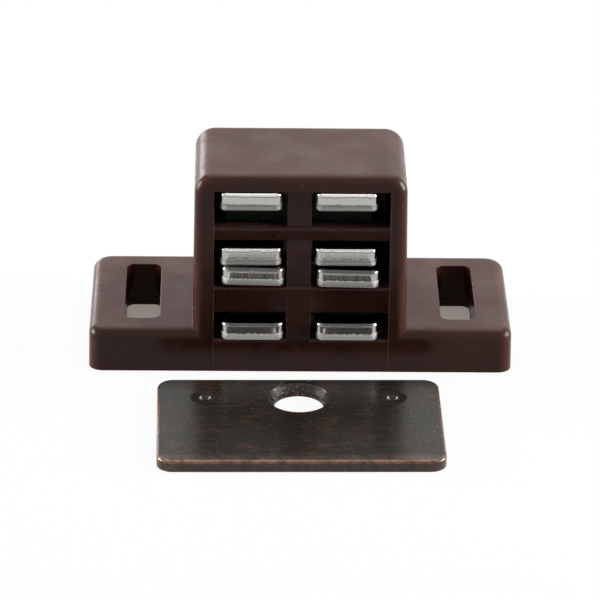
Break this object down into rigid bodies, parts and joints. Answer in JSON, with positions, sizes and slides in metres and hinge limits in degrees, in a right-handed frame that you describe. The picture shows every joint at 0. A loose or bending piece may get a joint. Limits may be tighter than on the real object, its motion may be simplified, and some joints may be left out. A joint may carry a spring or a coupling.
{
  "type": "magnetic catch",
  "caption": "Double magnetic catch for a cabinet: moulded screw base and tower, floating magnets between forked steel pole plates, and a loose steel strike plate.",
  "frame": {"origin": "middle of the mounting face under the base, at the height of the surface the catch is screwed to", "axes": "+X along the base's length between the two screw slots, +Z away from the mounting face, -Y the way the pole tips look"},
  "size_m": [0.0508, 0.0471, 0.0254],
  "materials": {
    "brown_moulding": "satin",
    "cover_moulding": "satin",
    "pole_steel": "satin",
    "ferrite": "matte",
    "bronzed_steel": "satin"
  },
  "bodies": {
    "housing": {"housing": "brown_moulding", "base_cover": "cover_moulding", "strike_plate": "bronzed_steel"},
    "lower_pack": {"bottom_pole_plate": "pole_steel", "lower_magnet": "ferrite", "lower_inner_pole_plate": "pole_steel"},
    "upper_pack": {"upper_inner_pole_plate": "pole_steel", "upper_magnet": "ferrite", "top_pole_plate": "pole_steel"}
  },
  "joints": [
    {"name": "lower_pack_float", "type": "slide", "parent": "housing", "child": "lower_pack", "axis": [0, -1, 0], "range_m": [-0.00085, 0.00005]},
    {"name": "upper_pack_float", "type": "slide", "parent": "housing", "child": "upper_pack", "axis": [0, -1, 0], "range_m": [-0.00025, 0.00065]}
  ]
}
